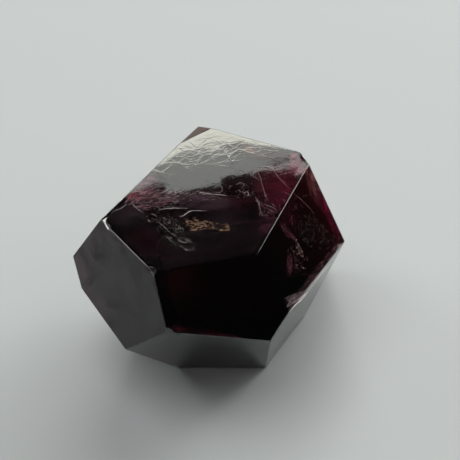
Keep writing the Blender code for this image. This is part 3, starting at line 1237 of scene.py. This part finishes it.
def skinned(tree, curve, wobble_size, wobble, seed, sides):
    """Let a curve wander and taper, and skin it as a thread as thick as its girth."""
    factor = result(tree, "GeometryNodeSplineParameter")
    along = maths(tree, "SINE", maths(tree, "MULTIPLY", factor, math.pi))
    taper = maths(tree, "MULTIPLY_ADD", maths(tree, "POWER", along, 0.5), *THREAD_TAPER)
    girth = result(tree, "GeometryNodeInputNamedAttribute", {"Name": GIRTH}, data_type="FLOAT")
    ring = {"Resolution": sides, "Radius": 1.0}
    inputs = {
        "Curve": wandering(tree, curve, wobble_size, wobble, seed),
        "Profile Curve": result(tree, "GeometryNodeCurvePrimitiveCircle", ring),
        "Scale": maths(tree, "MULTIPLY", girth, taper),
        "Fill Caps": True,
    }
    return result(tree, "GeometryNodeCurveToMesh", inputs)


def clumped_points(tree, given):
    """Points scattered in clumps over the given outline, some a little deeper than others."""
    position = result(tree, "GeometryNodeInputPosition")
    clump = noise_at(tree, position, given["Clump Size"], seed=given["Seed"]).outputs["Fac"]
    edge = given["Clump Edge"]
    share = ramp_between(tree, clump, edge, maths(tree, "ADD", edge, CLUMP_FADE))
    inputs = {
        "Mesh": given["Geometry"],
        "Density": maths(tree, "MULTIPLY", given["Density"], share),
        "Seed": given["Seed"],
    }
    points = result(tree, "GeometryNodeDistributePointsOnFaces", inputs)
    sink = random_value(tree, given["Seed"], 5, 0.0, given["Scatter"])
    down = scaled(tree, given["Facing"], maths(tree, "MULTIPLY", sink, -1.0))
    return result(tree, "GeometryNodeSetPosition", {"Geometry": points, "Offset": down})


def laid_out(tree, given, shape, size, lean):
    """A shape on every scattered point, along the slant and then leant by some angles."""
    ways = {"Primary Axis": given["Facing"], "Secondary Axis": given["Along"]}
    aim = result(tree, "FunctionNodeAxesToRotation", ways, primary_axis="Z", secondary_axis="X")
    turn = {"Rotation": aim, "Rotate By": result(tree, "FunctionNodeEulerToRotation", {"Euler": lean})}
    inputs = {
        "Points": clumped_points(tree, given),
        "Instance": shape,
        "Scale": size,
        "Rotation": result(tree, "FunctionNodeRotateRotation", turn, rotation_space="LOCAL"),
    }
    return result(tree, "GeometryNodeInstanceOnPoints", inputs)


def thread_tree():
    """Grow tapering, wandering threads along the edges of a mesh."""
    inputs = sockets(NUMBER, "Step", "Wobble") + GROWTH_INPUTS
    tree, given, end = geometry_group("threads", inputs)
    curve = result(tree, "GeometryNodeMeshToCurve", {"Mesh": given["Geometry"]})
    pace = {"Curve": curve, "Length": given["Step"]}
    even = result(tree, "GeometryNodeResampleCurve", pace, mode="LENGTH")
    size = maths(tree, "MULTIPLY", given["Step"], 3.0)
    skin = skinned(tree, even, size, given["Wobble"], given["Seed"], THREAD_SIDES)
    close_tree(tree, given, skin, end)
    return tree


def flake_tree():
    """Scatter small uneven flakes inside a flat outline, in clumps."""
    inputs = SCATTER_INPUTS + sockets(VECTOR, "Least Size", "Most Size", "Tilt")
    tree, given, end = geometry_group("flakes", inputs)
    seed = given["Seed"]
    pebble = result(tree, "GeometryNodeMeshIcoSphere", {"Radius": 1.0, "Subdivisions": 2})
    dented = wandering(tree, pebble, DENT_SIZE, DENT_DEPTH, seed)
    size = random_value(tree, seed, 1, given["Least Size"], given["Most Size"], "FLOAT_VECTOR")
    back = scaled(tree, given["Tilt"], -1.0)
    lean = random_value(tree, seed, 2, back, given["Tilt"], "FLOAT_VECTOR")
    close_tree(tree, given, laid_out(tree, given, dented, size, lean), end)
    return tree


def hair_tree():
    """Scatter short, bent hairs along a direction inside a flat outline, in clumps."""
    labels = ("Fan", "Least Length", "Most Length", "Most Girth", "Wobble", "Wobble Size")
    tree, given, end = geometry_group("hairs", SCATTER_INPUTS + sockets(NUMBER, *labels))
    seed = given["Seed"]
    ends = {"Start": (-0.5, 0.0, 0.0), "End": (0.5, 0.0, 0.0)}
    stalk = {"Curve": result(tree, "GeometryNodeCurvePrimitiveLine", ends), "Count": HAIR_JOINTS}
    jointed = result(tree, "GeometryNodeResampleCurve", stalk, mode="COUNT")
    size = random_value(tree, seed, 1, given["Least Length"], given["Most Length"])
    back = maths(tree, "MULTIPLY", given["Fan"], -1.0)
    swing = result(tree, "ShaderNodeCombineXYZ", {"Z": random_value(tree, seed, 2, back, given["Fan"])})
    thin = maths(tree, "MULTIPLY", given["Most Girth"], HAIR_THINNEST)
    inputs = {
        "Geometry": laid_out(tree, given, jointed, size, swing),
        "Name": GIRTH,
        "Value": random_value(tree, seed, 3, thin, given["Most Girth"]),
    }
    girth = result(
        tree, "GeometryNodeStoreNamedAttribute", inputs, domain="INSTANCE", data_type="FLOAT"
    )
    real = result(tree, "GeometryNodeRealizeInstances", {"Geometry": girth})
    skin = skinned(tree, real, given["Wobble Size"], given["Wobble"], seed, HAIR_SIDES)
    close_tree(tree, given, skin, end)
    return tree


def grow(name, seedling, tree, material, **values):
    """Run a tree on a mesh once, and keep what grew as a plain piece."""
    source = add_to_scene(bpy.data.objects.new(name, seedling))
    growth = source.modifiers.new("growth", "NODES")
    growth.node_group = tree
    values["material"] = material
    for item in tree.interface.items_tree:
        label = item.name.replace(" ", "_").lower()
        if item.in_out == "INPUT" and label in values:
            growth[item.identifier] = values[label]
    grown = source.evaluated_get(bpy.context.evaluated_depsgraph_get())
    mesh = bpy.data.meshes.new_from_object(grown)
    source.modifiers.remove(growth)
    bpy.data.objects.remove(source)
    shape = bmesh.new()
    shape.from_mesh(mesh)
    if shape.calc_volume(signed=True) < 0.0:
        bmesh.ops.reverse_faces(shape, faces=shape.faces[:])
        shape.to_mesh(mesh)
    shape.free()
    finish_piece(name, mesh, material)


def make_threads(name, lines, wobble, seed, look):
    """Threads through lists of points in space, each with its own half thickness."""
    points = []
    edges = []
    girths = []
    for girth, line in lines:
        edges += [(len(points) + step, len(points) + step + 1) for step in range(len(line) - 1)]
        points += line
        girths += [girth * GIRTH_SCALE * MM] * len(line)
    seedling = bpy.data.meshes.new(name)
    seedling.from_pydata(points, edges, [])
    layer = seedling.attributes.new(GIRTH, "FLOAT", "POINT")
    layer.data.foreach_set("value", girths)
    grow(name, seedling, threads, looks[look], step=THREAD_STEP, wobble=wobble * MM, seed=seed)


def facet_lines(facet, table):
    """The threads of a table as points in space under a facet."""
    return [(girth, [facet.at(*point, depth) for point in line]) for girth, depth, line in table]


def scatter_in(name, tree, field, outlines, crowd, **values):
    """Grow flakes or hairs inside outlines under a facet, along a slant across it."""
    facet_name, depth = field["at"]
    facet = facets[facet_name]
    sheet = bmesh.new()
    for outline in outlines:
        sheet.faces.new([sheet.verts.new(facet.at(*point, depth)) for point in outline])
    slant = math.radians(field["slant"][0])
    values["facing"] = facet.normal
    values["along"] = facet.across * math.cos(slant) + facet.up * math.sin(slant)
    values["density"] = crowd / (MM * MM)
    grow(name, kept_mesh(name, sheet), tree, looks[field["look"]], **values)


def make_flakes(name, field, seed):
    """One field of flakes."""
    tip = math.radians(field["slant"][1])
    crowd, clump_edge = field["crowd"]
    length, width = field["largest"]
    least_length, least_width = FLAKE_LEAST
    values = {
        "clump_size": FLAKE_CLUMP,
        "clump_edge": clump_edge,
        "least_size": (length * least_length * MM, width * least_width * MM, FLAKE_THIN),
        "most_size": (length * MM, width * MM, FLAKE_THICK),
        "scatter": FLAKE_SCATTER,
        "tilt": (tip, math.radians(FLAKE_ROLL), tip),
    }
    scatter_in(name, flakes, field, field["outlines"], crowd, seed=seed, **values)


def make_hairs(name, field, seed):
    """One field of hairs."""
    longest, thickest = field["longest"]
    values = {
        "clump_size": HAIR_CLUMP,
        "clump_edge": HAIR_CLUMP_EDGE,
        "fan": math.radians(field["slant"][1]),
        "least_length": HAIR_SHORTEST,
        "most_length": longest * MM,
        "most_girth": thickest * MM,
        "wobble": HAIR_WOBBLE,
        "wobble_size": HAIR_WOBBLE_SIZE,
        "scatter": HAIR_SCATTER,
    }
    scatter_in(name, hairs, field, (field["outline"],), field["crowd"], seed=seed, **values)


# ---------------------------------------------------------------------------
# Bruises: frosted skins where an edge or corner has been knocked, partly painted highlights where they
# catch the window
# ---------------------------------------------------------------------------


def make_bruise_highlight(name, facet, outline):
    """A thin frosted plate let into a facet, a hair proud of it, partly a painted highlight."""
    plate = bmesh.new()
    plate.faces.new([plate.verts.new(facet.at(*point, -BRUISE_HIGHLIGHT_PROUD)) for point in outline])
    bmesh.ops.recalc_face_normals(plate, faces=plate.faces[:])
    grown = bmesh.ops.extrude_face_region(plate, geom=plate.faces[:])
    moved = [item for item in grown["geom"] if isinstance(item, bmesh.types.BMVert)]
    bmesh.ops.translate(plate, verts=moved, vec=-facet.normal * BRUISE_HIGHLIGHT_DEPTH * MM)
    bmesh.ops.recalc_face_normals(plate, faces=plate.faces[:])
    finish_piece(name, kept_mesh(name, plate), looks["bruise_and_highlight"])


def meeting_point(*three):
    """The point where three facets would meet if no edge were worn."""
    rows = Matrix([facet.normal for facet in three])
    return rows.inverted() @ Vector([facet.offset for facet in three])


def edge_line(first, second, start, end, sunk):
    """Points along the edge between two facets, from one facet to another, sunk a little."""
    inward = -(first.normal + second.normal).normalized() * sunk * MM
    near = meeting_point(first, second, start) + inward
    far = meeting_point(first, second, end) + inward
    return [near.lerp(far, step / EDGE_STEPS) for step in range(EDGE_STEPS + 1)]


# ---------------------------------------------------------------------------
# Build it all
# ---------------------------------------------------------------------------

bpy.context.scene.view_settings.view_transform = "Standard"
make_camera()
make_floor()
make_room()
make_lights()

patch = patch_group()
streaks = streak_group()
mottle = mottle_group()
crinkle = crinkle_group()
threads = thread_tree()
flakes = flake_tree()
hairs = hair_tree()
looks = {look: inclusion_material(*row) for look, row in LOOKS.items()}

solid = whole_stone()
facets = find_facets(solid)
make_stone(facets, solid)

for name, (depth, shrink, *veil) in VEILS.items():
    make_veil(name + "_veil", facets[name], depth, shrink, veil_material(name + "_veil", *veil))
for name, (facet_name, table, wobble, seed, look) in THREADS.items():
    make_threads(name, facet_lines(facets[facet_name], table), wobble, seed, look)
# Frosted threads along the crown's worn edges, partly a painted highlight.
for name, (*facet_names, sunk, girth, wobble, seed) in EDGE_BRUISE_HIGHLIGHTS.items():
    edge = edge_line(*(facets[facet_name] for facet_name in facet_names), sunk)
    make_threads(name, [(girth, edge)], wobble, seed, "bruise_and_highlight")
for seed, (name, field) in enumerate(FLAKE_FIELDS.items(), start=FLAKE_SEED):
    make_flakes(name, field, seed)
for seed, (name, field) in enumerate(HAIR_FIELDS.items(), start=HAIR_SEED):
    make_hairs(name, field, seed)
# Frosted plates on the knocked corner, partly a painted highlight.
for number, outline in enumerate(SHOULDER_BRUISE_HIGHLIGHTS, start=1):
    make_bruise_highlight("shoulder_bruise_%d" % number, facets["crown"], outline)
